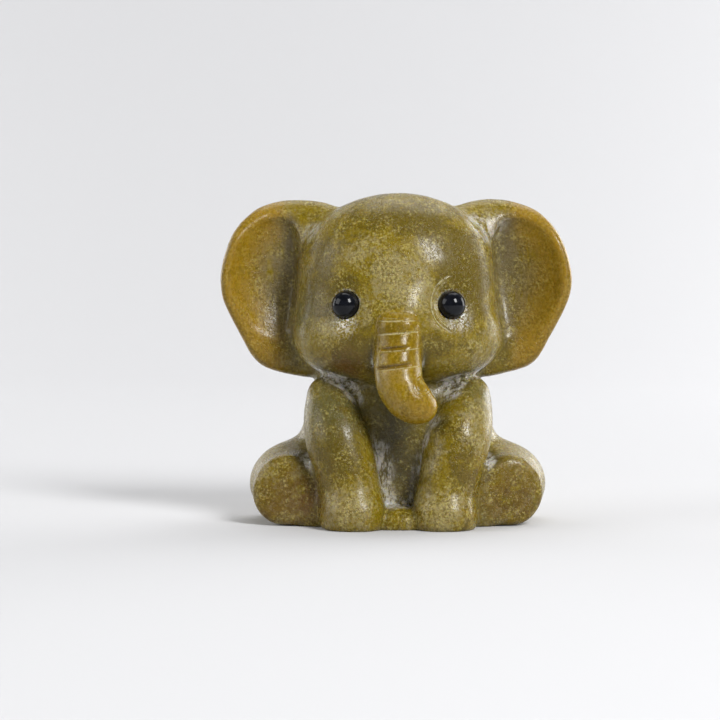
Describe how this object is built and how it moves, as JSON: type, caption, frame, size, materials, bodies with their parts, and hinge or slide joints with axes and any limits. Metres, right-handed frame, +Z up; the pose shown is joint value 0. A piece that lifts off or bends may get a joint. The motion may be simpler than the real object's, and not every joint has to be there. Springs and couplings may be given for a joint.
{
  "type": "carved stone elephant figurine",
  "caption": "Small seated baby elephant carved in polished olive jade, with large hollowed ears, a curled trunk and round black bead eyes. Stands on its flat underside.",
  "frame": {"origin": "on the flat underside, midway between the left and right legs, under the belly", "axes": "+Z up, the elephant faces -Y, +X is towards the elephant's own left ear"},
  "size_m": [0.0599, 0.0381, 0.056],
  "materials": {
    "olive_jade": "polished",
    "black_bead": "polished"
  },
  "bodies": {
    "root": {"elephant_carving": "olive_jade", "left_eye_bead": "black_bead", "right_eye_bead": "black_bead"}
  },
  "joints": []
}
